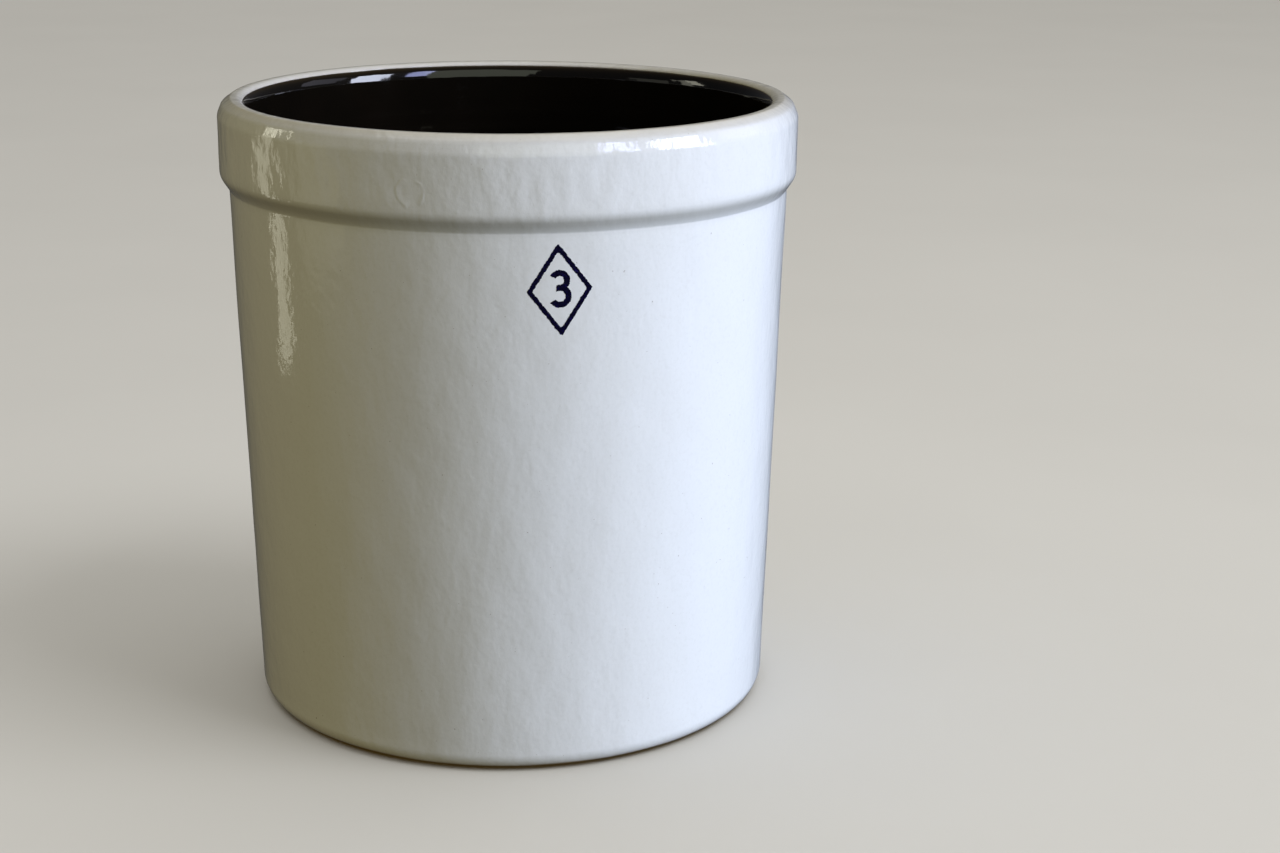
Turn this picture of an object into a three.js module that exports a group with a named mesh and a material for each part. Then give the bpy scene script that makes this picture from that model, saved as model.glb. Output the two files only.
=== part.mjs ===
// A three-gallon stoneware fermenting crock with its pair of half-moon weights.
// Millimetres, +Z up. The origin is the centre of the foot ring, on the surface the crock stands on.
import * as THREE from "three";

// Crock, outside
const HEIGHT = 285;
const RIM_RADIUS = 133; // outer face of the rim band
const BODY_TOP_RADIUS = 128.8; // where the body meets the ledge under the band
const BODY_BOTTOM_RADIUS = 121.6; // where the body meets the rounded foot
const FOOT_ROUND = { across: 9, up: 8.5 }; // half axes of the foot's rounding
const LEDGE_BOTTOM = 244.2;
const LEDGE_TOP = 250.6;
const LEDGE_HOLLOW_ROUND = 1.7; // soft inner corner, filled by glaze
const LEDGE_EDGE_ROUND = 7.5;

// The rim's outer shoulder: a steep facet over the band, a shallow one over that, then the flat crest
const RIM_CORNER = { height: 277.3, round: 6 }; // where the band ends
const RIM_RIDGE = { radius: 131, height: 282.2, round: 4.2 }; // between the two facets
const CREST_EDGE = { radius: 126.9, round: 2.2 };
const CREST_INNER_RADIUS = 124.9; // inner edge of the flat crest, where a lid would sit

// Crock, inside
const MOUTH_RADIUS = 119;
const RIM_INNER_ROUND = { across: CREST_INNER_RADIUS - MOUTH_RADIUS, up: 8 };
const GLAZE_LINE_RADIUS = 121.2; // white glaze outside this circle of the rim, dark glaze inside it
const FLOOR_HEIGHT = 13;
const FLOOR_RADIUS = 112.5; // inner wall extended down to the floor
const FLOOR_ROUND = 9;

// Foot and glaze
const GLAZE = 0.6; // thickness of both glazes
const BOND_GAP = 0.1; // parts the glaze's solid from the clay's, which are fused on the real crock
const GLAZE_START = 1.5; // height of the white glaze's lower edge; the clay is bare below it
const FOOT_RING_INNER = 98;
const RECESS_DEPTH = 2;

// Half-moon weights, lying on the floor of the crock
const WEIGHT_RADIUS = 105;
const WEIGHT_THICKNESS = 14;
const WEIGHT_EDGE_ROUND = 3;
const WEIGHT_GAP = 2; // slot between the two halves
const FINGER_HOLE_RADIUS = 16; // half of it is cut in each weight
const REST_GAP = 0.3; // clearance between a weight and the floor

// Capacity mark on the front, which is the -Y side
const MARK = { centreHeight: 220, halfWidth: 14, halfHeight: 20, line: 2, lean: 2.5, thickness: 0.4, lift: 0.1 };
const NUMERAL = { centreAbove: 0.5, upperBowl: 3.2, lowerBowl: 3.6, stroke: 2.6, tongue: 1.5, opening: 150 };

const AROUND = 64; // segments around the axis, a multiple of four so that the box is exact

const degrees = THREE.MathUtils.degToRad;
const point = (radius, height) => new THREE.Vector2(radius, height);

// Points on an ellipse's arc, both ends included.
function arc(centre, half, from, to, steps) {
  const points = [];
  for (let i = 0; i <= steps; i++) {
    const a = degrees(from + ((to - from) * i) / steps);
    points.push(point(centre.x + half.across * Math.cos(a), centre.y + half.up * Math.sin(a)));
  }
  return points;
}

// Points that round the corner between two straight lines, both tangent points included.
function roundCorner(before, corner, after, radius, steps) {
  const back = before.clone().sub(corner).normalize();
  const ahead = after.clone().sub(corner).normalize();
  const half = Math.acos(back.dot(ahead)) / 2;
  const tangent = radius / Math.tan(half);
  const centre = corner.clone().addScaledVector(back.clone().add(ahead).normalize(), radius / Math.sin(half));
  const start = corner.clone().addScaledVector(back, tangent).sub(centre);
  const end = corner.clone().addScaledVector(ahead, tangent).sub(centre);
  const turn = Math.atan2(start.cross(end), start.dot(end));
  const points = [];
  for (let i = 0; i <= steps; i++) {
    points.push(start.clone().rotateAround(new THREE.Vector2(), (turn * i) / steps).add(centre));
  }
  return points;
}

// Each vertex of an outline moved by distance to the left of the way the outline runs.
function offset(points, distance) {
  return points.map((p, i) => {
    const before = points[Math.max(i - 1, 0)];
    const after = points[Math.min(i + 1, points.length - 1)];
    const into = i ? p.clone().sub(before).normalize() : after.clone().sub(p).normalize();
    const out = i < points.length - 1 ? after.clone().sub(p).normalize() : into;
    const mitre = into.clone().add(out).normalize();
    const left = point(-mitre.y, mitre.x);
    return p.clone().addScaledVector(left, distance / mitre.dot(into));
  });
}

// The glazed surface, outside: from the lower edge of the glaze, up the body and over the rim.
const footCentre = point(BODY_BOTTOM_RADIUS - FOOT_ROUND.across, FOOT_ROUND.up);
const glazeStartAngle = THREE.MathUtils.radToDeg(Math.asin(GLAZE_START / FOOT_ROUND.up - 1));
const bodyBottom = point(BODY_BOTTOM_RADIUS, FOOT_ROUND.up);
const ledgeHollow = point(BODY_TOP_RADIUS, LEDGE_BOTTOM);
const ledgeEdge = point(RIM_RADIUS, LEDGE_TOP);
const rimCorner = point(RIM_RADIUS, RIM_CORNER.height);
const rimRidge = point(RIM_RIDGE.radius, RIM_RIDGE.height);
const crestEdge = point(CREST_EDGE.radius, HEIGHT);
const crestInner = point(CREST_INNER_RADIUS, HEIGHT);
const rimInnerCentre = point(CREST_INNER_RADIUS, HEIGHT - RIM_INNER_ROUND.up);
const glazeLineAngle =
  180 - THREE.MathUtils.radToDeg(Math.acos((rimInnerCentre.x - GLAZE_LINE_RADIUS) / RIM_INNER_ROUND.across));

const outerSurface = [
  ...arc(footCentre, FOOT_ROUND, glazeStartAngle, 0, 4),
  ...roundCorner(bodyBottom, ledgeHollow, ledgeEdge, LEDGE_HOLLOW_ROUND, 2),
  ...roundCorner(ledgeHollow, ledgeEdge, rimCorner, LEDGE_EDGE_ROUND, 3),
  ...roundCorner(ledgeEdge, rimCorner, rimRidge, RIM_CORNER.round, 1),
  ...roundCorner(rimCorner, rimRidge, crestEdge, RIM_RIDGE.round, 2),
  ...roundCorner(rimRidge, crestEdge, crestInner, CREST_EDGE.round, 2),
  ...arc(rimInnerCentre, RIM_INNER_ROUND, 90, glazeLineAngle, 3),
];

// The glazed surface, inside: from the glaze line down the wall and in along the floor.
const wallTop = point(MOUTH_RADIUS, rimInnerCentre.y);
const wallBottom = point(FLOOR_RADIUS, FLOOR_HEIGHT);
const floorCentre = point(0, FLOOR_HEIGHT);
const innerSurface = [
  ...arc(rimInnerCentre, RIM_INNER_ROUND, glazeLineAngle, 180, 3),
  ...roundCorner(wallTop, wallBottom, floorCentre, FLOOR_ROUND, 4),
  floorCentre,
];

// Both glazes reach one thickness under that whole surface, and the clay starts under them.
const surface = [...outerSurface, ...innerSurface.slice(1)];
const glazeUnderside = offset(surface, GLAZE);
const outerUnderside = glazeUnderside.slice(0, outerSurface.length);
const innerUnderside = glazeUnderside.slice(outerSurface.length - 1);
const claySurface = offset(surface, GLAZE + BOND_GAP);
const bareFoot = arc(footCentre, { across: FOOT_ROUND.across - GLAZE - BOND_GAP, up: FOOT_ROUND.up }, -90, -62, 2);

const clayProfile = [
  point(0, RECESS_DEPTH),
  point(FOOT_RING_INNER - RECESS_DEPTH, RECESS_DEPTH),
  point(FOOT_RING_INNER, 0),
  ...bareFoot,
  ...claySurface,
];
const outerGlazeProfile = [...outerSurface, ...outerUnderside.toReversed(), outerSurface[0]];
const innerGlazeProfile = [...innerUnderside.toReversed(), ...innerSurface];

const material = (color, roughness) => new THREE.MeshStandardMaterial({ color, roughness, metalness: 0 });

function node(name, geometry, look) {
  const mesh = new THREE.Mesh(geometry, look);
  mesh.name = name;
  return mesh;
}

// A profile of radius and height turned about the upright axis.
function turned(name, profile, look) {
  const mesh = node(name, new THREE.LatheGeometry(profile, AROUND), look);
  mesh.rotation.x = Math.PI / 2;
  return mesh;
}

// One half-moon weight. Side 1 lies at +X and side -1 at -X.
function weight(name, side) {
  const slot = WEIGHT_GAP / 2;
  const rimAngle = Math.acos(slot / WEIGHT_RADIUS);
  const notchAngle = Math.acos(slot / FINGER_HOLE_RADIUS);
  const facing = side > 0 ? 0 : Math.PI;
  const outline = new THREE.Shape();
  outline.absarc(0, 0, WEIGHT_RADIUS, facing - rimAngle, facing + rimAngle, false);
  outline.absarc(0, 0, FINGER_HOLE_RADIUS, facing + notchAngle, facing - notchAngle, true);
  outline.closePath();
  const slab = new THREE.ExtrudeGeometry(outline, {
    depth: WEIGHT_THICKNESS - 2 * WEIGHT_EDGE_ROUND,
    bevelThickness: WEIGHT_EDGE_ROUND,
    bevelSize: WEIGHT_EDGE_ROUND,
    bevelOffset: -WEIGHT_EDGE_ROUND,
    bevelSegments: 3,
    curveSegments: 12,
  });
  const mesh = node(name, slab, material(0xd8d4c6, 0.25));
  mesh.position.z = FLOOR_HEIGHT + REST_GAP + WEIGHT_EDGE_ROUND;
  return mesh;
}

// A flat outline, drawn as width across and height up, set leaning a little, as stamped by hand, and then
// wrapped on to the front of the tapering body.
function wrapped(name, outline, look) {
  const geometry = new THREE.ExtrudeGeometry(outline, {
    depth: MARK.thickness,
    bevelEnabled: false,
    curveSegments: 6,
  });
  geometry.rotateZ(degrees(MARK.lean));
  const taper = (BODY_TOP_RADIUS - BODY_BOTTOM_RADIUS) / (LEDGE_BOTTOM - FOOT_ROUND.up);
  const markRadius = BODY_BOTTOM_RADIUS + taper * (MARK.centreHeight - FOOT_ROUND.up);
  const places = geometry.getAttribute("position");
  for (let i = 0; i < places.count; i++) {
    const angle = places.getX(i) / markRadius;
    const radius = markRadius + taper * places.getY(i) + MARK.lift + places.getZ(i);
    const height = MARK.centreHeight + places.getY(i);
    places.setXYZ(i, radius * Math.sin(angle), -radius * Math.cos(angle), height);
  }
  return node(name, geometry, look);
}

// A lozenge standing on its point, its sides divided so that they can follow the body's curve.
function lozenge(halfWidth, halfHeight) {
  const corners = [
    point(halfWidth, 0),
    point(0, halfHeight),
    point(-halfWidth, 0),
    point(0, -halfHeight),
  ];
  const stepsPerSide = 4;
  return corners.flatMap((corner, i) => {
    const next = corners[(i + 1) % corners.length];
    return Array.from({ length: stepsPerSide }, (_, step) => corner.clone().lerp(next, step / stepsPerSide));
  });
}

function markFrame() {
  const { halfWidth, halfHeight, line } = MARK;
  const slant = Math.hypot(halfWidth, halfHeight);
  const outline = new THREE.Shape(lozenge(halfWidth, halfHeight));
  const inner = lozenge(halfWidth - (line * slant) / halfHeight, halfHeight - (line * slant) / halfWidth);
  outline.holes.push(new THREE.Path(inner.reverse()));
  return wrapped("capacity_mark_frame", outline, material(0x1c1a55, 0.3));
}

// A plain numeral 3: two open bowls of even stroke that meet in a short tongue.
function markNumeral() {
  const { centreAbove, upperBowl, lowerBowl, stroke, tongue, opening } = NUMERAL;
  const waist = centreAbove + lowerBowl - upperBowl;
  const upper = waist + upperBowl;
  const lower = waist - lowerBowl;
  const outerUpper = upperBowl + stroke / 2;
  const outerLower = lowerBowl + stroke / 2;
  const apart = upper - lower;
  const down = (outerUpper ** 2 - outerLower ** 2 + apart ** 2) / (2 * apart);
  const across = Math.sqrt(outerUpper ** 2 - down ** 2);
  const open = degrees(opening);
  const quarter = Math.PI / 2;
  const outline = new THREE.Shape();
  outline.absarc(0, upper, outerUpper, open, Math.atan2(-down, across), true);
  outline.absarc(0, lower, outerLower, Math.atan2(apart - down, across), -open, true);
  outline.absarc(0, lower, outerLower - stroke, -open, quarter, false);
  outline.lineTo(-tongue, waist - stroke / 2);
  outline.lineTo(-tongue, waist + stroke / 2);
  outline.absarc(0, upper, outerUpper - stroke, -quarter, open, false);
  outline.closePath();
  return wrapped("capacity_mark_numeral", outline, material(0x1c1a55, 0.3));
}

const crock = new THREE.Group();
crock.add(
  turned("stoneware_body", clayProfile, material(0xcdb892, 0.75)),
  turned("exterior_glaze", outerGlazeProfile, material(0xe4e7e6, 0.12)),
  turned("interior_glaze", innerGlazeProfile, material(0x0a0906, 0.08)),
  markFrame(),
  markNumeral(),
  weight("weight_left", -1),
  weight("weight_right", 1),
);

export default crock;
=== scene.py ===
"""Looks of a three-gallon stoneware fermenting crock and its half-moon weights.

Every piece is built round the CAD frame and stands for one of its nodes. Shapes are worked out
in millimetres and become metres as each mesh is made. Angles round the crock start at
the front, -Y, and grow towards +X.
"""

import math

import bmesh
import bpy
import numpy as np
from mathutils import Matrix, Vector
from mathutils.geometry import tessellate_polygon


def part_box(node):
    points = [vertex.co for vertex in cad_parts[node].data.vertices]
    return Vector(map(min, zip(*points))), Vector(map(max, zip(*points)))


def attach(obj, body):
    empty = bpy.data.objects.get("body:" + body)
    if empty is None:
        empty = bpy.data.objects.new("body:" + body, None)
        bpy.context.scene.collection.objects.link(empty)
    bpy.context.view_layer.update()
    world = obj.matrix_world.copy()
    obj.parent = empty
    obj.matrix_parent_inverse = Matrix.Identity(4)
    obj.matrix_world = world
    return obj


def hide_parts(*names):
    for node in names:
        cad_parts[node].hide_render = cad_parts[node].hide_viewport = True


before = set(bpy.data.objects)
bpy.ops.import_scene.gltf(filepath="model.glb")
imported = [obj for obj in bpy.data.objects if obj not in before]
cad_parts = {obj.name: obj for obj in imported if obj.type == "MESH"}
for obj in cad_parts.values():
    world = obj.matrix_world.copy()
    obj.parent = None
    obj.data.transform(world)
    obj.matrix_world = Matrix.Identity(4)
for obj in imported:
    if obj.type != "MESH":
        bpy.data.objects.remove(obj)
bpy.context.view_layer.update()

MM = 0.001


def box_mm(node):
    """Lowest and highest corner of a CAD node, in millimetres."""
    low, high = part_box(node)
    return np.array(low) / MM, np.array(high) / MM


# Sizes that the frame holds
GLAZE_BOX = box_mm("exterior_glaze")
WEIGHT_BOX = box_mm("weight_right")
MARK_BOX = box_mm("capacity_mark_frame")
RIM_RADIUS = GLAZE_BOX[1][0]
HEIGHT = GLAZE_BOX[1][2]
GLAZE_START = GLAZE_BOX[0][2]
WEIGHT_SLOT_HALF = WEIGHT_BOX[0][0]
WEIGHT_RADIUS = WEIGHT_BOX[1][1]
WEIGHT_BOTTOM = WEIGHT_BOX[0][2]
WEIGHT_TOP = WEIGHT_BOX[1][2]
MARK_HEIGHT = (MARK_BOX[0][2] + MARK_BOX[1][2]) / 2

# The rest of the crock's outline, as the CAD source has it
GLAZE = 0.6
BOND_GAP = 0.1
CLAY_DEPTH = GLAZE + BOND_GAP
BODY_TOP_RADIUS = 128.8
BODY_BOTTOM_RADIUS = 121.6
FOOT_ROUND = (9.0, 8.5)  # half axes across and up
FOOT_CENTRE = (BODY_BOTTOM_RADIUS - FOOT_ROUND[0], FOOT_ROUND[1])
LEDGE_BOTTOM = 244.2
LEDGE_TOP = 250.6
LEDGE_HOLLOW_ROUND = 1.7
LEDGE_EDGE_ROUND = 7.5
RIM_CORNER = (RIM_RADIUS, 277.3)
RIM_RIDGE = (131.0, 282.2)
CREST_EDGE = (126.9, HEIGHT)
CREST_INNER = (124.9, HEIGHT)
RIM_ROUNDS = (6.0, 4.2, 2.2)  # at the corner, the ridge and the crest's edge
MOUTH_RADIUS = 119.0
RIM_INNER_ROUND = (CREST_INNER[0] - MOUTH_RADIUS, 8.0)
GLAZE_LINE_RADIUS = 121.2
FLOOR_HEIGHT = box_mm("interior_glaze")[0][2] + GLAZE
FLOOR_RADIUS = 112.5
FLOOR_ROUND = 9.0
FOOT_RING_INNER = 98.0
FOOT_RING_ROUND = 0.7
RECESS_DEPTH = 2.0
RECESS_RADIUS = FOOT_RING_INNER - RECESS_DEPTH
RECESS_ROUND = 2.0
WEIGHT_EDGE_ROUND = 3.0
FINGER_HOLE_RADIUS = 16.0

# Mesh fineness
AROUND = 480
ROW_SPACING = 1.7
BASE_SPACING = 1.2

TAPER = (BODY_TOP_RADIUS - BODY_BOTTOM_RADIUS) / (LEDGE_BOTTOM - FOOT_ROUND[1])


# ---------------------------------------------------------------- outlines

def arc(centre, half, start, end, steps):
    """Points on an ellipse's arc, both ends included, with angles in degrees."""
    angles = np.radians(np.linspace(start, end, steps + 1))
    across, up = np.cos(angles), np.sin(angles)
    return np.column_stack([centre[0] + half[0] * across, centre[1] + half[1] * up])


def round_corner(before, corner, after, radius, steps):
    """Points that round a corner between straight lines, both tangent points included."""
    before, corner, after = (np.array(p, float) for p in (before, corner, after))
    back = (before - corner) / np.linalg.norm(before - corner)
    ahead = (after - corner) / np.linalg.norm(after - corner)
    half = math.acos(np.clip(back @ ahead, -1, 1)) / 2
    middle = (back + ahead) / np.linalg.norm(back + ahead)
    centre = corner + middle * radius / math.sin(half)
    start = corner + back * radius / math.tan(half) - centre
    end = corner + ahead * radius / math.tan(half) - centre
    turn = math.atan2(start[0] * end[1] - start[1] * end[0], start @ end)
    angles = math.atan2(start[1], start[0]) + np.linspace(0, turn, steps + 1)
    return centre + radius * np.column_stack([np.cos(angles), np.sin(angles)])


def filled_in(points, spacing):
    """The same outline with points added where neighbours are further apart than spacing."""
    rows = [points[:1]]
    for a, b in zip(points[:-1], points[1:]):
        steps = max(1, math.ceil(np.linalg.norm(b - a) / spacing))
        rows.append(a + (b - a) * (np.arange(1, steps + 1) / steps)[:, None])
    return np.vstack(rows)


def lengths_along(points):
    """Distance of each point from the first, along the outline."""
    return np.concatenate([[0], np.cumsum(np.linalg.norm(np.diff(points, axis=0), axis=1))])


def glazed_outline():
    """The glazed surface from the foot's glaze edge over the rim to the floor's centre.

    The glaze line's row in it comes second.
    """
    foot_angle = math.degrees(math.asin(GLAZE_START / FOOT_ROUND[1] - 1))
    body_bottom = (BODY_BOTTOM_RADIUS, FOOT_ROUND[1])
    hollow = (BODY_TOP_RADIUS, LEDGE_BOTTOM)
    edge = (RIM_RADIUS, LEDGE_TOP)
    shoulder = [edge, RIM_CORNER, RIM_RIDGE, CREST_EDGE, CREST_INNER]
    rim_inner = (CREST_INNER[0], HEIGHT - RIM_INNER_ROUND[1])
    line_share = (rim_inner[0] - GLAZE_LINE_RADIUS) / RIM_INNER_ROUND[0]
    line_angle = 180 - math.degrees(math.acos(line_share))
    wall_top, wall_bottom = (MOUTH_RADIUS, rim_inner[1]), (FLOOR_RADIUS, FLOOR_HEIGHT)
    floor_centre = (0, FLOOR_HEIGHT)
    outer = np.vstack([
        arc(FOOT_CENTRE, FOOT_ROUND, foot_angle, 0, 16),
        round_corner(body_bottom, hollow, edge, LEDGE_HOLLOW_ROUND, 8),
        round_corner(hollow, edge, RIM_CORNER, LEDGE_EDGE_ROUND, 10),
        *(round_corner(*shoulder[i:i + 3], RIM_ROUNDS[i], 5) for i in range(3)),
        arc(rim_inner, RIM_INNER_ROUND, 90, line_angle, 10),
    ])
    inner = np.vstack([
        arc(rim_inner, RIM_INNER_ROUND, line_angle, 180, 10),
        round_corner(wall_top, wall_bottom, floor_centre, FLOOR_ROUND, 10),
        [floor_centre],
    ])
    outer = filled_in(outer, ROW_SPACING)
    inner = filled_in(inner, ROW_SPACING)
    return np.vstack([outer, inner[1:]]), len(outer) - 1


def outward_normals(points):
    """Unit normals of an outline that face out of the clay, on the right of the way it runs."""
    ahead = np.gradient(points, axis=0)
    ahead /= np.linalg.norm(ahead, axis=1)[:, None]
    return np.column_stack([ahead[:, 1], -ahead[:, 0]])


# ---------------------------------------------------------------- handmade unevenness

class Ripple:
    """A smooth uneven field round the crock, as a sum of seeded waves that close on themselves."""

    def __init__(self, seed, waves, most_round, shortest, size):
        draw = np.random.default_rng(seed)
        self.round = draw.integers(1, most_round + 1, waves)
        self.up = 2 * np.pi / draw.uniform(shortest, shortest * 9, waves) * draw.choice([-1, 1], waves)
        self.phase = draw.uniform(0, 2 * np.pi, waves)
        pitch = np.hypot(self.round / RIM_RADIUS, self.up)
        self.size = size * (pitch.min() / pitch) / math.sqrt(waves / 2)

    def __call__(self, angle, height):
        angle, height = np.broadcast_arrays(angle, height)
        total = np.zeros(angle.shape)
        for around, up, phase, size in zip(self.round, self.up, self.phase, self.size):
            total += size * np.cos(around * angle + up * height + phase)
        return total


def smooth_step(low, high, value):
    """Rises smoothly from 0 at low to 1 at high, or falls where low is the higher of the two."""
    t = np.clip((value - low) / (high - low), 0, 1)
    return t * t * (3 - 2 * t)


def bell(value, middle, width):
    """1 at the middle, falling smoothly to nothing on both sides."""
    return np.exp(-(((value - middle) / width) ** 2))


body_ripple = Ripple(seed=11, waves=46, most_round=34, shortest=30, size=0.24)
band_ripple = Ripple(seed=13, waves=60, most_round=95, shortest=9, size=0.28)
liner_ripple = Ripple(seed=23, waves=24, most_round=16, shortest=40, size=0.3)
line_ripple = Ripple(seed=31, waves=14, most_round=38, shortest=60, size=0.25)
foot_ripple = Ripple(seed=47, waves=18, most_round=44, shortest=60, size=1.1)

OVALITY = 0.3
OVAL_TURN = 0.7  # where round the crock the oval is widest
THROWING_PITCH = 8.5
THROWING_DEPTH = 0.16
TRIMMING_PITCH = 3.4
TRIMMING_DEPTH = 0.07
RIM_SHARE = 0.25  # the rim was trued up, so this much of the unevenness is left there


def oval(angle):
    """How far the crock is out of round."""
    return OVALITY * np.cos(2 * (angle - OVAL_TURN))


def outside_offset(angle, height):
    """How far the outside stands proud of its true outline, least at the foot and the rim."""
    near_rim = smooth_step(HEIGHT - 25, HEIGHT - 3, height)
    settle = smooth_step(0, 14, height) * (1 - (1 - RIM_SHARE) * near_rim)
    over_ledge = smooth_step(LEDGE_TOP, LEDGE_TOP + 8, height)
    on_band = over_ledge * smooth_step(HEIGHT - 2, HEIGHT - 9, height)
    uneven = body_ripple(angle, height) + oval(angle)
    return settle * uneven + on_band * band_ripple(angle, height)


def inside_offset(angle, height, radius):
    """The same for the inside, with the spiral left by the thrower's fingers."""
    spiral = THROWING_DEPTH * np.cos(2 * np.pi * height / THROWING_PITCH + angle)
    below_rim = smooth_step(HEIGHT - 12, HEIGHT - 40, height)
    centre_fade = smooth_step(0, 30, radius)
    uneven = liner_ripple(angle, height) + oval(angle)
    settle = RIM_SHARE + (1 - RIM_SHARE) * below_rim
    return centre_fade * (uneven * settle + spiral * below_rim)


# ---------------------------------------------------------------- turned meshes

SIDE_BLEND = 16.0  # past the glaze line, where the outside's unevenness hands over to the inside's
FOOT_EDGE_ROUND = 0.9
LINE_DIP_DEPTH = 0.12
LINE_DIP_WIDTH = 0.35
LINE_WANDER_WIDTH = 5.0
FOOT_WANDER_WIDTH = 4.0

# The white glaze's tints: the middle of each and its width, along the surface from the glaze
# line for the crest's, and upwards for the painted shade under the ledge
CREST_TINT = (-5.5, 4.0)
LEDGE_SHADE_TINT = ((LEDGE_BOTTOM + LEDGE_TOP) / 2 + 0.8, 3.4)
THIN_AT_LINE = 0.35  # next to the foot's 1
DARK_THIN_WIDTH = 0.9

angles = np.linspace(0, 2 * np.pi, AROUND, endpoint=False)
outline, line_row = glazed_outline()
normals = outward_normals(outline)
along = lengths_along(outline)
past_line = along - along[line_row]
inside_share = smooth_step(0, SIDE_BLEND, past_line)[:, None]
proud_outside = outside_offset(angles, outline[:, 1:])
proud_inside = inside_offset(angles, outline[:, 1:], outline[:, :1])
proud = (1 - inside_share) * proud_outside + inside_share * proud_inside
line_dip = LINE_DIP_DEPTH * np.exp(-np.abs(past_line) / LINE_DIP_WIDTH)

# Both edges of the white glaze wander a little along the surface.
line_shift = line_ripple(angles, 0) * bell(past_line, 0, LINE_WANDER_WIDTH)[:, None]
foot_shift = foot_ripple(angles, 0) * bell(along, 0, FOOT_WANDER_WIDTH)[:, None]
slip = line_shift + foot_shift
tangents = np.column_stack([-normals[:, 1], normals[:, 0]])


def around_axis(radius, height):
    """Places round the axis from rows of radius and height, each row as long as angles."""
    across, back, up = radius * np.sin(angles), -radius * np.cos(angles), height + 0 * angles
    return np.stack([across, back, up], axis=-1)


def surface_rows(rows, depth):
    """Rows of the glazed surface, sunk by a depth for each row."""
    out = proud[rows] - np.broadcast_to(depth, len(outline))[rows, None]
    radius = outline[rows, :1] + normals[rows, :1] * out + tangents[rows, :1] * slip[rows]
    height = outline[rows, 1:] + normals[rows, 1:] * out + tangents[rows, 1:] * slip[rows]
    return around_axis(radius, height)


def new_object(name, mesh):
    """A smooth-shaded object made of a mesh, in the scene."""
    mesh.shade_smooth()
    piece = bpy.data.objects.new(name, mesh)
    bpy.context.scene.collection.objects.link(piece)
    return piece


def turned_piece(name, rows, closed, tints=None):
    """A mesh from rows of places round the axis. A closed one joins its last row to its first."""
    count = len(rows)
    steps = count if closed else count - 1
    row, column = np.meshgrid(np.arange(steps), np.arange(AROUND), indexing="ij")
    next_row, next_column = (row + 1) % count, (column + 1) % AROUND
    here, beside = row * AROUND + column, row * AROUND + next_column
    above, across = next_row * AROUND + column, next_row * AROUND + next_column
    faces = np.stack([here, beside, across, above], axis=-1).reshape(-1, 4)
    mesh = bpy.data.meshes.new(name)
    mesh.from_pydata((rows.reshape(-1, 3) * MM).tolist(), [], faces.tolist())
    for tint, values in (tints or {}).items():
        everywhere = np.broadcast_to(values[:, None], (count, AROUND)).astype(np.float32)
        attribute = mesh.attributes.new(tint, "FLOAT", "POINT")
        attribute.data.foreach_set("value", everywhere.ravel())
    weld(mesh)
    return new_object(name, mesh)


def weld(mesh):
    """Joins the places that coincide, such as a row shrunk to a point on the axis."""
    work = bmesh.new()
    work.from_mesh(mesh)
    bmesh.ops.remove_doubles(work, verts=work.verts, dist=1e-7)
    work.to_mesh(mesh)
    work.free()


def exterior_glaze():
    """The white glaze: a skin with rounded edges at the foot and at the glaze line.

    Its tints say where it is thin, where it browned on the crest and where shade is painted under the
    ledge.
    """
    rows = np.arange(line_row + 1)
    foot_edge = GLAZE * (1 - np.sqrt(1 - (1 - np.clip(along / FOOT_EDGE_ROUND, 0, 1)) ** 2))
    outside = surface_rows(rows, foot_edge + line_dip)
    underside = surface_rows(rows[::-1], GLAZE)
    tints = {
        "thin": np.exp(-along[rows]) + THIN_AT_LINE * np.exp(past_line[rows]),
        "crest": bell(past_line[rows], *CREST_TINT),
        # Painted shade: a darker band of glaze under the rim's ledge.
        "painted_ledge_shade": bell(outline[rows, 1], *LEDGE_SHADE_TINT),
    }
    tints = {tint: np.concatenate([values, values[::-1]]) for tint, values in tints.items()}
    return turned_piece("exterior_glaze_skin", np.vstack([outside, underside]), True, tints)


def interior_glaze():
    """The dark glaze: a liner from the glaze line down the wall and over the floor."""
    rows = np.arange(line_row, len(outline))
    underside = surface_rows(rows[::-1], GLAZE)
    inside = surface_rows(rows, line_dip)
    thin = np.exp(-past_line[rows] / DARK_THIN_WIDTH)
    tints = {"thin": np.concatenate([thin[::-1], thin])}
    return turned_piece("interior_glaze_liner", np.vstack([underside, inside]), False, tints)


def stoneware_body():
    """The clay: turned foot with its recess below, and the surface that both glazes lie on."""
    centre, recess_edge = (0, RECESS_DEPTH), (RECESS_RADIUS, RECESS_DEPTH)
    ring_inner, ring_outer = (FOOT_RING_INNER, 0), (FOOT_CENTRE[0], 0)
    base = np.vstack([
        [centre],
        round_corner(centre, recess_edge, ring_inner, RECESS_ROUND, 5),
        round_corner(recess_edge, ring_inner, ring_outer, FOOT_RING_ROUND, 4),
        arc(FOOT_CENTRE, (FOOT_ROUND[0] - CLAY_DEPTH, FOOT_ROUND[1]), -90, -60, 10),
    ])
    base = filled_in(base, BASE_SPACING)
    radius, height = base[:, :1], base[:, 1:]
    trimming = TRIMMING_DEPTH * np.cos(2 * np.pi * radius / TRIMMING_PITCH + angles)
    trimming *= smooth_step(4, 14, radius) * smooth_step(RECESS_RADIUS, RECESS_RADIUS - 4, radius)
    bottom = around_axis(radius + 0 * angles, np.maximum(height + trimming, 0))
    upper = surface_rows(np.arange(len(outline)), CLAY_DEPTH)
    return turned_piece("stoneware_body_clay", np.vstack([bottom, upper]), False)


# ---------------------------------------------------------------- half-moon weights

WEIGHT_RADII = 25  # places across a half-moon's flat, from the finger hole to the outside
WEIGHT_TURNS = 65  # places round it
EDGE_RINGS = 8  # rings of the rounding at its top, and as many at its bottom

weight_ripple = Ripple(seed=59, waves=16, most_round=12, shortest=35, size=0.3)


def half_turn(radius):
    """Half the angle that a half-moon's flat takes up at a radius, with its slot left free."""
    return np.arccos((WEIGHT_SLOT_HALF + WEIGHT_EDGE_ROUND) / radius)


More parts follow.
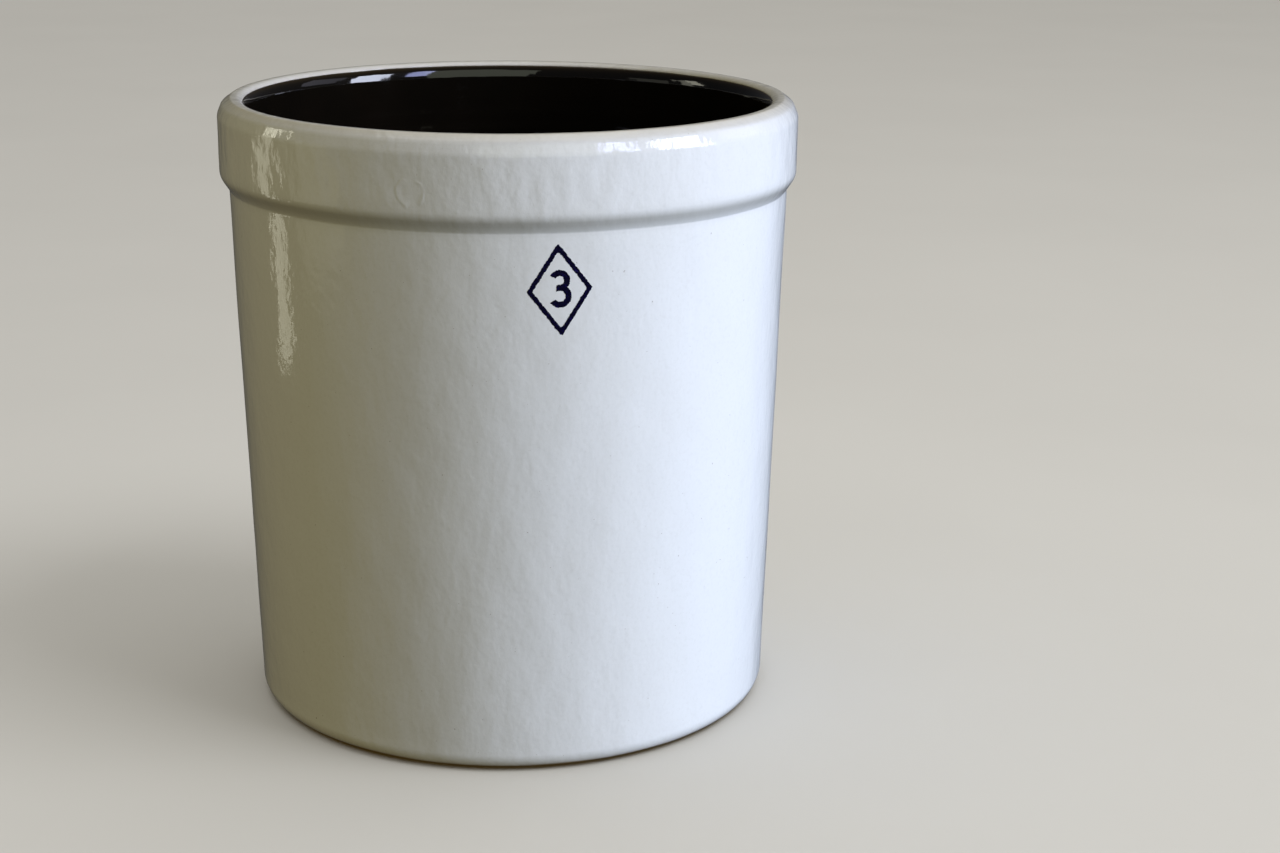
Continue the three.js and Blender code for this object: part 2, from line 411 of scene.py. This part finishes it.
def weight_border(radii, fan):
    """Places and outward normals once round a half-moon's flat, with a fan at each corner."""
    inner, outer = radii[0], radii[-1]
    bow = np.linspace(-half_turn(outer), half_turn(outer), WEIGHT_TURNS)
    notch = np.linspace(half_turn(inner), -half_turn(inner), WEIGHT_TURNS)
    ends = half_turn(radii)
    edge = np.column_stack([radii * np.cos(ends), radii * np.sin(ends)])
    stretches = [
        (outer * np.column_stack([np.cos(bow), np.sin(bow)]), bow),
        (edge[::-1], np.full(len(radii), np.pi)),
        (inner * np.column_stack([np.cos(notch), np.sin(notch)]), np.pi + notch),
        (edge * [1, -1], np.full(len(radii), np.pi)),
    ]
    places, facing = [], []
    for i, (points, turns) in enumerate(stretches):
        following = stretches[(i + 1) % len(stretches)][1][0]
        turn = (following - turns[-1]) % (2 * np.pi)
        places += [points, np.repeat(points[-1:], fan, axis=0)]
        facing += [turns, turns[-1] + turn * np.arange(1, fan + 1) / (fan + 1)]
    facing = np.concatenate(facing)
    return np.vstack(places), np.column_stack([np.cos(facing), np.sin(facing)])


def grid_faces(rows, columns, first, turned_over):
    """Faces of a grid of places whose numbers begin at first."""
    row, column = np.meshgrid(np.arange(rows - 1), np.arange(columns - 1), indexing="ij")
    start = first + row * columns + column
    corners = [start, start + columns, start + columns + 1, start + 1]
    if turned_over:
        corners.reverse()
    return np.stack(corners, axis=-1).reshape(-1, 4).tolist()


def weight_piece(name, side):
    """One half-moon weight with rounded edges. Side 1 lies at +X and side -1 at -X."""
    edge = WEIGHT_EDGE_ROUND
    radii = np.linspace(FINGER_HOLE_RADIUS + edge, WEIGHT_RADIUS - edge, WEIGHT_RADII)
    flat_angles = half_turn(radii)[:, None] * np.linspace(-1, 1, WEIGHT_TURNS)
    flat_x, flat_y = radii[:, None] * np.cos(flat_angles), radii[:, None] * np.sin(flat_angles)

    def flat_side(height):
        return np.stack([flat_x, flat_y, np.full(flat_x.shape, height)], axis=-1).reshape(-1, 3)

    border, facing = weight_border(radii, fan=5)
    size = len(border)
    places = [flat_side(WEIGHT_TOP)]
    faces = grid_faces(WEIGHT_RADII, WEIGHT_TURNS, 0, False)
    first = len(places[0])
    for level, start in ((WEIGHT_TOP - edge, 0), (WEIGHT_BOTTOM + edge, 90)):
        for angle in np.radians(np.linspace(start, start + 90, EDGE_RINGS)):
            ring = border + facing * edge * math.sin(angle)
            height = level + edge * math.cos(angle)
            places.append(np.column_stack([ring, np.full(size, height)]))
    rings = len(places) - 1
    for ring in range(rings - 1):
        for i in range(size):
            here, there = first + ring * size + i, first + ring * size + (i + 1) % size
            faces.append([here, here + size, there + size, there])
    faces += grid_faces(WEIGHT_RADII, WEIGHT_TURNS, first + rings * size, True)
    places.append(flat_side(WEIGHT_BOTTOM))
    places = np.vstack(places) * [side, side, 1]
    lift = smooth_step(WEIGHT_BOTTOM + edge, WEIGHT_TOP, places[:, 2])
    places[:, 2] += lift * weight_ripple(places[:, 0] / RIM_RADIUS, places[:, 1])
    mesh = bpy.data.meshes.new(name)
    mesh.from_pydata((places * MM).tolist(), [], faces)
    weld(mesh)
    return new_object(name, mesh)


# ---------------------------------------------------------------- capacity mark

MARK_HALF_WIDTH = 14.0
MARK_HALF_HEIGHT = 20.0
MARK_LINE = 2.0
MARK_LEAN = math.radians(2.5)
MARK_PROUD = 0.05
MARK_POINT_ROUND = 0.8
NUMERAL = {"above": 0.5, "upper": 3.2, "lower": 3.6, "stroke": 2.6, "tongue": 1.5, "opening": 150}
FRAME_RAGGED, NUMERAL_RAGGED = 0.24, 0.2
STAMP_STEP = 0.3
FILM_LONGEST_EDGE = 0.8
FILM_SHARP_ANGLE = math.radians(40)


def ragged(points, seed, depth):
    """A closed outline with the uneven edge that a stamp leaves, in even small steps."""
    points = filled_in(np.vstack([points, points[:1]]), STAMP_STEP)[:-1]
    across = np.roll(points, -1, axis=0) - np.roll(points, 1, axis=0)
    across /= np.linalg.norm(across, axis=1)[:, None]
    across = np.column_stack([across[:, 1], -across[:, 0]])
    draw = np.random.default_rng(seed)
    way = 2 * np.pi * np.arange(len(points)) / len(points)
    length = len(points) * STAMP_STEP
    wobble = np.zeros(len(points))
    for wavelength, share in ((6.0, 0.5), (2.6, 0.5), (1.4, 0.45), (0.8, 0.35)):
        fewest, most = int(0.75 * length / wavelength), int(1.3 * length / wavelength) + 2
        for waves in draw.integers(fewest, most, 3):
            wobble += share / 3 * np.cos(waves * way + draw.uniform(0, 2 * np.pi))
    return points + across * (wobble * depth)[:, None]


def lozenge(inset):
    """A lozenge standing on its point, its sides moved in by inset, with softened points."""
    slant = math.hypot(MARK_HALF_WIDTH, MARK_HALF_HEIGHT)
    wide = MARK_HALF_WIDTH - inset * slant / MARK_HALF_HEIGHT
    high = MARK_HALF_HEIGHT - inset * slant / MARK_HALF_WIDTH
    corners = [(wide, 0), (0, high), (-wide, 0), (0, -high)]
    return np.vstack([
        round_corner(corners[i - 1], corners[i], corners[(i + 1) % 4], MARK_POINT_ROUND, 4)
        for i in range(4)
    ])


def numeral_outline():
    """A plain 3: two open bowls of even stroke that meet in a short tongue."""
    upper_bowl, lower_bowl, half = NUMERAL["upper"], NUMERAL["lower"], NUMERAL["stroke"] / 2
    waist = NUMERAL["above"] + lower_bowl - upper_bowl
    upper, lower = (0, waist + upper_bowl), (0, waist - lower_bowl)
    apart = upper_bowl + lower_bowl
    down = ((upper_bowl + half) ** 2 - (lower_bowl + half) ** 2 + apart ** 2) / (2 * apart)
    across = math.sqrt((upper_bowl + half) ** 2 - down ** 2)
    opening = NUMERAL["opening"]

    def bowl(centre, radius, start, end):
        return arc(centre, (radius, radius), start, end, 40)

    return np.vstack([
        bowl(upper, upper_bowl + half, opening, math.degrees(math.atan2(-down, across))),
        bowl(lower, lower_bowl + half, math.degrees(math.atan2(apart - down, across)), -opening)[1:],
        bowl(lower, lower_bowl - half, -opening, 90),
        [(-NUMERAL["tongue"], waist - half), (-NUMERAL["tongue"], waist + half)],
        bowl(upper, upper_bowl - half, -90, opening),
    ])


def on_body(flat, proud_of_glaze):
    """Wraps places of width across and height up on to the front of the glazed body."""
    lean_across, lean_up = math.cos(MARK_LEAN), math.sin(MARK_LEAN)
    leaning = flat @ np.array([[lean_across, lean_up], [-lean_up, lean_across]])

    def body_radius(height):
        return BODY_BOTTOM_RADIUS + TAPER * (height - FOOT_ROUND[1])

    height = MARK_HEIGHT + leaning[:, 1]
    angle = leaning[:, 0] / body_radius(MARK_HEIGHT)
    radius = body_radius(height) + outside_offset(angle, height) + proud_of_glaze
    return np.column_stack([radius * np.sin(angle), -radius * np.cos(angle), height])


def cut_up(flat, triangles, longest):
    """Halves the edges of flat triangles till none is over longest, so that they can bend."""
    work = bmesh.new()
    corners = [work.verts.new((x, y, 0)) for x, y in flat]
    for face in triangles:
        work.faces.new([corners[i] for i in face])
    while long_edges := [edge for edge in work.edges if edge.calc_length() > longest]:
        bmesh.ops.subdivide_edges(work, edges=long_edges, cuts=1)
        bmesh.ops.triangulate(work, faces=work.faces[:])
    work.verts.index_update()
    finer = np.array([vert.co[:2] for vert in work.verts])
    faces = [[vert.index for vert in face.verts] for face in work.faces]
    work.free()
    return finer, faces


def stamped_piece(name, outlines):
    """A thin closed film of cobalt that fills the first outline, less any others."""
    rings = [[Vector((x, y, 0)) for x, y in ring] for ring in outlines]
    flat, front = cut_up(np.vstack(outlines), tessellate_polygon(rings), FILM_LONGEST_EDGE)
    count = len(flat)
    a, b, c = flat[front[0]]
    if (b[0] - a[0]) * (c[1] - a[1]) - (b[1] - a[1]) * (c[0] - a[0]) < 0:
        front = [face[::-1] for face in front]
    back = [[i + count for i in face[::-1]] for face in front]
    directed = {(face[i], face[(i + 1) % 3]) for face in front for i in range(3)}
    rim = sorted((i, j) for i, j in directed if (j, i) not in directed)
    sides = [[j, i, i + count, j + count] for i, j in rim]
    places = np.vstack([on_body(flat, MARK_PROUD), on_body(flat, 0)])
    mesh = bpy.data.meshes.new(name)
    mesh.from_pydata((places * MM).tolist(), [], front + back + sides)
    piece = new_object(name, mesh)
    mesh.set_sharp_from_angle(angle=FILM_SHARP_ANGLE)
    return piece


# ---------------------------------------------------------------- materials

def colour(red, green, blue):
    """A display colour of 0 to 255 as Blender's linear colour."""
    shares = np.array([red, green, blue]) / 255
    linear = np.where(shares <= 0.04045, shares / 12.92, ((shares + 0.055) / 1.055) ** 2.4)
    return (*linear.tolist(), 1.0)


MIX_SHARE, MIX_FIRST, MIX_SECOND, MIX_RESULT = 0, 6, 7, 2  # a Mix node's sockets for colours


class Paint:
    """A material being built: short names for the few nodes that the glazes and the clay need."""

    def __init__(self, name):
        self.material = bpy.data.materials.new(name)
        self.material.use_nodes = True
        self.tree = self.material.node_tree
        self.shader = self.tree.nodes["Principled BSDF"]
        self.place = self.tree.nodes.new("ShaderNodeTexCoord").outputs["Object"]

    def put(self, value, socket):
        if isinstance(value, bpy.types.NodeSocket):
            self.tree.links.new(value, socket)
        else:
            socket.default_value = value

    def noise(self, size_mm, detail=2.0, roughness=0.5, tall=1.0):
        """Noise of a size across. Its height is tall times that."""
        node = self.tree.nodes.new("ShaderNodeTexNoise")
        node.inputs["Scale"].default_value = 1 / (size_mm * MM)
        node.inputs["Detail"].default_value = detail
        node.inputs["Roughness"].default_value = roughness
        place = self.tree.nodes.new("ShaderNodeMapping")
        place.inputs["Scale"].default_value = (1, 1, 1 / tall)
        self.put(self.place, place.inputs["Vector"])
        self.put(place.outputs["Vector"], node.inputs["Vector"])
        return node.outputs["Fac"]

    def tint(self, name):
        """One of the mesh's own tints, from 0 to 1."""
        node = self.tree.nodes.new("ShaderNodeAttribute")
        node.attribute_name = name
        return node.outputs["Fac"]

    def height(self):
        node = self.tree.nodes.new("ShaderNodeSeparateXYZ")
        self.put(self.place, node.inputs["Vector"])
        return node.outputs["Z"]

    def maths(self, operation, first, second=0.0):
        node = self.tree.nodes.new("ShaderNodeMath")
        node.operation = operation
        self.put(first, node.inputs[0])
        self.put(second, node.inputs[1])
        return node.outputs[0]

    def span(self, value, low, high, out_low=0.0, out_high=1.0):
        """Goes smoothly from out_low to out_high as the value goes from low to high."""
        node = self.tree.nodes.new("ShaderNodeMapRange")
        node.interpolation_type = "SMOOTHSTEP"
        for socket, setting in zip(node.inputs[:5], (value, low, high, out_low, out_high)):
            self.put(setting, socket)
        return node.outputs[0]

    def mix(self, share, first, second):
        node = self.tree.nodes.new("ShaderNodeMix")
        node.data_type = "RGBA"
        self.put(share, node.inputs[MIX_SHARE])
        self.put(first, node.inputs[MIX_FIRST])
        self.put(second, node.inputs[MIX_SECOND])
        return node.outputs[MIX_RESULT]

    def bump(self, height, depth_mm, under=None):
        node = self.tree.nodes.new("ShaderNodeBump")
        node.inputs["Strength"].default_value = 1.0
        node.inputs["Distance"].default_value = depth_mm * MM
        self.put(height, node.inputs["Height"])
        if under:
            self.put(under, node.inputs["Normal"])
        return node.outputs["Normal"]

    def finish(self, base, roughness, normal, ior=1.5):
        self.put(base, self.shader.inputs["Base Color"])
        self.put(roughness, self.shader.inputs["Roughness"])
        self.put(normal, self.shader.inputs["Normal"])
        self.shader.inputs["IOR"].default_value = ior
        return self.material


def glaze_skin(paint, peel_mm, peel_depth, under=None, share=1.0):
    """Orange peel over a slower swell that ran down a little, as fired glaze has."""
    slow = paint.maths("MULTIPLY", paint.noise(9, 2.0, tall=1.8), share)
    quick = paint.maths("MULTIPLY", paint.noise(peel_mm, 2.0, tall=1.3), share)
    return paint.bump(quick, peel_depth, paint.bump(slow, peel_depth * 4, under))


BLISTER_ANGLE = math.radians(-27.2)
BLISTER_HEIGHT = 260.8
BLISTER_RADIUS = 5.2
BLISTER_INSIDE, BLISTER_OUTSIDE = 2.6, 1.6  # widths of the ring's two slopes
BLISTER_WANDER = 0.9
BLISTER_DEPTH = 0.14


def healed_blister(paint):
    """The faint ring that a burst bubble left in the glaze of the rim band."""
    radius = RIM_RADIUS * MM
    across, back = radius * math.sin(BLISTER_ANGLE), -radius * math.cos(BLISTER_ANGLE)
    node = paint.tree.nodes.new("ShaderNodeVectorMath")
    node.operation = "DISTANCE"
    paint.put(paint.place, node.inputs[0])
    node.inputs[1].default_value = (across, back, BLISTER_HEIGHT * MM)
    wander = BLISTER_WANDER * MM
    uneven = paint.span(paint.noise(6, 1.0), 0.2, 0.8, -wander, wander)
    reach = paint.maths("ADD", node.outputs["Value"], uneven)
    start, top = (BLISTER_RADIUS - BLISTER_INSIDE) * MM, BLISTER_RADIUS * MM
    rise = paint.span(reach, start, top)
    fall = paint.span(reach, top, (BLISTER_RADIUS + BLISTER_OUTSIDE) * MM, 0.0, -0.8)
    kept = paint.span(paint.noise(8, 0.0), 0.42, 0.6, 0.15, 1.0)
    ring = paint.maths("MULTIPLY", paint.maths("ADD", rise, fall), kept)
    return paint.bump(ring, BLISTER_DEPTH)


def white_glaze():
    paint = Paint("white glaze")
    cloud = paint.mix(paint.noise(60, 3.0), colour(235, 234, 227), colour(229, 227, 218))
    mottle = paint.span(paint.noise(1.6, 3.0), 0.45, 0.8, 0, 0.25)
    mottled = paint.mix(mottle, cloud, colour(216, 213, 202))
    speck = paint.span(paint.noise(1.3, 1.0, 0.3), 0.8, 0.84, 0, 0.5)
    specked = paint.mix(speck, mottled, colour(132, 108, 78))
    browned = paint.maths("MULTIPLY", paint.tint("crest"), 0.6)
    crest = paint.mix(browned, specked, colour(229, 222, 199))
    # Painted shade: the glaze is greyed in a band under the rim's ledge.
    painted_ledge_shade = paint.mix(paint.tint("painted_ledge_shade"), crest, colour(195, 192, 181))
    uneven = paint.span(paint.noise(5, 2.0), 0.3, 0.7, 0.65, 1.1)
    thin = paint.maths("MULTIPLY", paint.tint("thin"), uneven)
    base = paint.mix(thin, painted_ledge_shade, colour(138, 116, 78))
    roughness = paint.span(paint.noise(25, 2.0), 0.3, 0.75, 0.07, 0.13)
    # The band's orange peel is the stronger.
    rippled = paint.span(paint.height(), LEDGE_BOTTOM * MM, LEDGE_TOP * MM, 0.7, 1.0)
    skin = glaze_skin(paint, 2.4, 0.1, healed_blister(paint), rippled)
    return paint.finish(base, roughness, skin)


def dark_glaze():
    paint = Paint("dark glaze")
    cloud = paint.mix(paint.noise(30, 3.0), colour(9, 8, 6), colour(19, 15, 10))
    base = paint.mix(paint.tint("thin"), cloud, colour(62, 50, 30))
    roughness = paint.span(paint.noise(20, 2.0), 0.3, 0.75, 0.04, 0.09)
    return paint.finish(base, roughness, glaze_skin(paint, 3.2, 0.016))


def cobalt():
    paint = Paint("cobalt stamp")
    starved = paint.span(paint.noise(0.9, 3.0), 0.5, 0.85)
    ink = paint.mix(starved, colour(7, 5, 30), colour(23, 16, 80))
    roughness = paint.span(paint.noise(2, 2.0), 0.3, 0.7, 0.2, 0.3)
    return paint.finish(ink, roughness, glaze_skin(paint, 2.6, 0.012), ior=1.3)


def bare_clay():
    paint = Paint("bare stoneware")
    warm = paint.mix(paint.noise(35, 4.0), colour(203, 181, 143), colour(184, 156, 116))
    grain = paint.span(paint.noise(0.7, 3.0), 0.5, 0.85, 0, 0.5)
    grained = paint.mix(grain, warm, colour(150, 122, 86))
    speck = paint.span(paint.noise(1.7, 1.0, 0.3), 0.72, 0.76, 0, 0.8)
    base = paint.mix(speck, grained, colour(86, 62, 40))
    roughness = paint.span(paint.noise(3, 2.0), 0.3, 0.7, 0.66, 0.84)
    return paint.finish(base, roughness, paint.bump(paint.noise(0.55, 4.0, 0.65), 0.06))


def weight_glaze():
    """Cream glaze over the top and sides of a weight, and bare clay at its foot."""
    paint = Paint("weight glaze")
    cream = paint.mix(paint.noise(40, 3.0), colour(226, 221, 204), colour(214, 207, 186))
    speck = paint.span(paint.noise(2.0, 1.0, 0.3), 0.74, 0.79, 0, 0.75)
    glazed = paint.mix(speck, cream, colour(128, 100, 66))
    wander = paint.span(paint.noise(9, 2.0), 0.2, 0.8, 1.2 * MM, 2.6 * MM)
    above = paint.maths("SUBTRACT", paint.height(), wander)
    covered = paint.span(above, WEIGHT_BOTTOM * MM, (WEIGHT_BOTTOM + 0.35) * MM)
    grain = paint.span(paint.noise(0.8, 3.0), 0.4, 0.8)
    clay = paint.mix(grain, colour(198, 174, 134), colour(160, 130, 92))
    base = paint.mix(covered, clay, glazed)
    roughness = paint.span(covered, 0, 1, 0.75, 0.12)
    return paint.finish(base, roughness, glaze_skin(paint, 3.0, 0.02))


def floor_paint():
    paint = Paint("pale floor")
    base = paint.mix(paint.noise(240, 3.0), colour(204, 202, 197), colour(199, 197, 192))
    return paint.finish(base, 0.8, paint.bump(paint.noise(2, 2.0), 0.02))


# ---------------------------------------------------------------- assembly

def fit(piece, node, material, body="crock"):
    """Paints a piece, lets it ride on its body, and has it stand for its CAD node."""
    piece.data.materials.append(material)
    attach(piece, body)
    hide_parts(node)


clay_paint, white_paint, dark_paint = bare_clay(), white_glaze(), dark_glaze()
cobalt_paint, cream_paint = cobalt(), weight_glaze()

fit(stoneware_body(), "stoneware_body", clay_paint)
fit(exterior_glaze(), "exterior_glaze", white_paint)
fit(interior_glaze(), "interior_glaze", dark_paint)

frame_outer = ragged(lozenge(0), seed=3, depth=FRAME_RAGGED)
frame_inner = ragged(lozenge(MARK_LINE), seed=5, depth=FRAME_RAGGED)
stamped_frame = stamped_piece("stamped_frame", [frame_outer, frame_inner[::-1]])
fit(stamped_frame, "capacity_mark_frame", cobalt_paint)
numeral = ragged(numeral_outline(), seed=7, depth=NUMERAL_RAGGED)
stamped_numeral = stamped_piece("stamped_numeral", [numeral])
fit(stamped_numeral, "capacity_mark_numeral", cobalt_paint)

for weight_name, weight_side in (("weight_left", -1), ("weight_right", 1)):
    half_moon = weight_piece(weight_name + "_glazed", weight_side)
    fit(half_moon, weight_name, cream_paint, body=weight_name)


# ---------------------------------------------------------------- studio

# Angles in degrees. The camera stands a little to the left of the front, so the mark faces to
# its right.
CAMERA_AZIMUTH = -9.2
CAMERA_DISTANCE = 1051.5
CAMERA_HEIGHT = 424.0
CAMERA_YAW = 3.36
CAMERA_PITCH = -15.86
CAMERA_ROLL = 0.47
FRAME_WIDTH_PX = 1280
FOCAL_LENGTH_PX = 2273
SENSOR_WIDTH_MM = 36.0

FLOOR_HALF = 8.0  # metres
RIM_AIM = 0.28  # height that most lights are aimed at, in metres
SKY_LIGHT = (0.095, 0.071, 0.02, 1.0)
SKY_IN_REFLECTIONS = (0.045, 0.048, 0.055, 1.0)
SKY_IN_VIEW = colour(206, 206, 206)


def camera():
    """The view of the crock: it looks past the crock's axis a little to the right and down."""
    data = bpy.data.cameras.new("camera")
    data.sensor_width = SENSOR_WIDTH_MM
    data.lens = FOCAL_LENGTH_PX / FRAME_WIDTH_PX * SENSOR_WIDTH_MM
    piece = bpy.data.objects.new("camera", data)
    bpy.context.scene.collection.objects.link(piece)
    bearing = math.radians(CAMERA_AZIMUTH)
    place = Vector((math.sin(bearing), -math.cos(bearing), 0)) * CAMERA_DISTANCE
    place.z = CAMERA_HEIGHT
    heading = Matrix.Rotation(bearing - math.radians(CAMERA_YAW), 4, "Z")
    level = Matrix.Rotation(math.radians(90 + CAMERA_PITCH), 4, "X")
    roll = Matrix.Rotation(math.radians(CAMERA_ROLL), 4, "Z")
    piece.matrix_world = Matrix.Translation(place * MM) @ heading @ level @ roll
    bpy.context.scene.camera = piece


def soft_box(name, azimuth, height, distance, width, tall, watts, tone, aim_height=0.15):
    """A rectangular light aimed at the crock's axis, its azimuth counted from the camera's.

    Its sizes and places are in metres.
    """
    data = bpy.data.lights.new(name, "AREA")
    data.shape = "RECTANGLE"
    data.size, data.size_y = width, tall
    data.energy = watts
    data.color = tone
    piece = bpy.data.objects.new(name, data)
    bpy.context.scene.collection.objects.link(piece)
    bearing = math.radians(CAMERA_AZIMUTH + azimuth)
    piece.location = (distance * math.sin(bearing), -distance * math.cos(bearing), height)
    aim = Vector((0, 0, aim_height)) - piece.location
    piece.rotation_mode = "QUATERNION"
    piece.rotation_quaternion = aim.to_track_quat("-Z", "Y")
    piece.visible_camera = False
    return piece


def floor_sun(strength, spread, tone):
    """Even light from straight above, from a disc as wide as its spread in degrees."""
    data = bpy.data.lights.new("floor_sun", "SUN")
    data.energy = strength
    data.angle = math.radians(spread)
    data.color = tone
    piece = bpy.data.objects.new("floor_sun", data)
    bpy.context.scene.collection.objects.link(piece)
    return piece


def link_floor(light, floor, state):
    """Has a light leave out the floor, or fall on nothing else: state is EXCLUDE or INCLUDE."""
    receivers = bpy.data.collections.new(light.name + "_floor")
    receivers.objects.link(floor)
    receivers.collection_objects[0].light_linking.link_state = state
    light.light_linking.receiver_collection = receivers


def pale_floor():
    """A wide floor that is seen but throws no light or reflection on to the crock.

    That keeps the crock as it would look on a dark table.
    """
    corners = [(-1, -1), (1, -1), (1, 1), (-1, 1)]
    mesh = bpy.data.meshes.new("floor")
    mesh.from_pydata([(x * FLOOR_HALF, y * FLOOR_HALF, 0) for x, y in corners], [], [(0, 1, 2, 3)])
    floor = new_object("floor", mesh)
    floor.data.materials.append(floor_paint())
    floor.visible_diffuse = False
    floor.visible_glossy = False
    return floor


def lights(floor):
    """Two window boxes at the right, low strips at the left, broad fills and a light overhead.

    All of those leave out the floor, which has two lights of its own.
    """
    near, far, side, low = (0.53, 0.58, 1.0), (0.75, 0.80, 0.98), (0.83, 0.83, 1.0), (0.42, 0.62, 1.0)
    left, front, back, top = (1.0, 0.98, 0.8), (0.94, 1.0, 0.79), (0.88, 0.93, 1.0), (1.0, 0.97, 0.9)
    even = (0.96, 0.975, 1.0)
    on_crock = [
        soft_box("window_near", 45, 1.79, 3.0, 0.545, 1.55, 28.0, near, RIM_AIM),
        soft_box("window_far", 71, 1.16, 3.0, 0.985, 1.592, 85.0, far, RIM_AIM),
        soft_box("wall_side", 102, 0.85, 1.5, 0.65, 0.55, 0.8, side, RIM_AIM),
        soft_box("strip_left_far", -98, 0.29, 0.60, 0.09, 0.52, 0.25, left, RIM_AIM),
        soft_box("strip_left_near", -76, 0.28, 0.75, 0.28, 0.46, 0.16, left, RIM_AIM),
        soft_box("lamp_left", -101, 0.71, 1.49, 0.22, 0.40, 1.0, left, RIM_AIM),
        soft_box("wall_front", 15, 1.3, 2.6, 2.6, 2.2, 17.6, front),
        soft_box("wall_back", 180, 0.9, 2.6, 1.4, 1.6, 52.0, back),
        soft_box("bounce_right", 70, 0.06, 0.65, 0.9, 0.1, 2.2, low, aim_height=0.12),
        soft_box("overhead", 180, 2.3, 0.7, 1.6, 1.6, 6.0, top, aim_height=0),
    ]
    on_floor = [
        soft_box("floor_key", 64, 2.6, 2.0, 1.6, 1.6, 45.0, even, aim_height=0),
        floor_sun(2.0, 100, even),
    ]
    for light in on_crock:
        link_floor(light, floor, "EXCLUDE")
        # Reflections of these two would show as bright edges on the glaze.
        light.visible_glossy = light.name not in ("wall_back", "bounce_right")
    for light in on_floor:
        link_floor(light, floor, "INCLUDE")


def sky():
    """A dim warm room as light, a neutral one in reflections and a pale surround in view."""
    world = bpy.data.worlds.new("studio")
    world.use_nodes = True
    nodes, links = world.node_tree.nodes, world.node_tree.links
    path = nodes.new("ShaderNodeLightPath")
    in_reflections, in_view = (nodes.new("ShaderNodeMix") for _ in range(2))
    for blend, ray, tone in (
        (in_reflections, "Is Glossy Ray", SKY_IN_REFLECTIONS),
        (in_view, "Is Camera Ray", SKY_IN_VIEW),
    ):
        blend.data_type = "RGBA"
        links.new(path.outputs[ray], blend.inputs[MIX_SHARE])
        blend.inputs[MIX_SECOND].default_value = tone
    in_reflections.inputs[MIX_FIRST].default_value = SKY_LIGHT
    links.new(in_reflections.outputs[MIX_RESULT], in_view.inputs[MIX_FIRST])
    links.new(in_view.outputs[MIX_RESULT], nodes["Background"].inputs["Color"])
    bpy.context.scene.world = world


camera()
lights(pale_floor())
sky()
bpy.context.scene.view_settings.view_transform = "Standard"
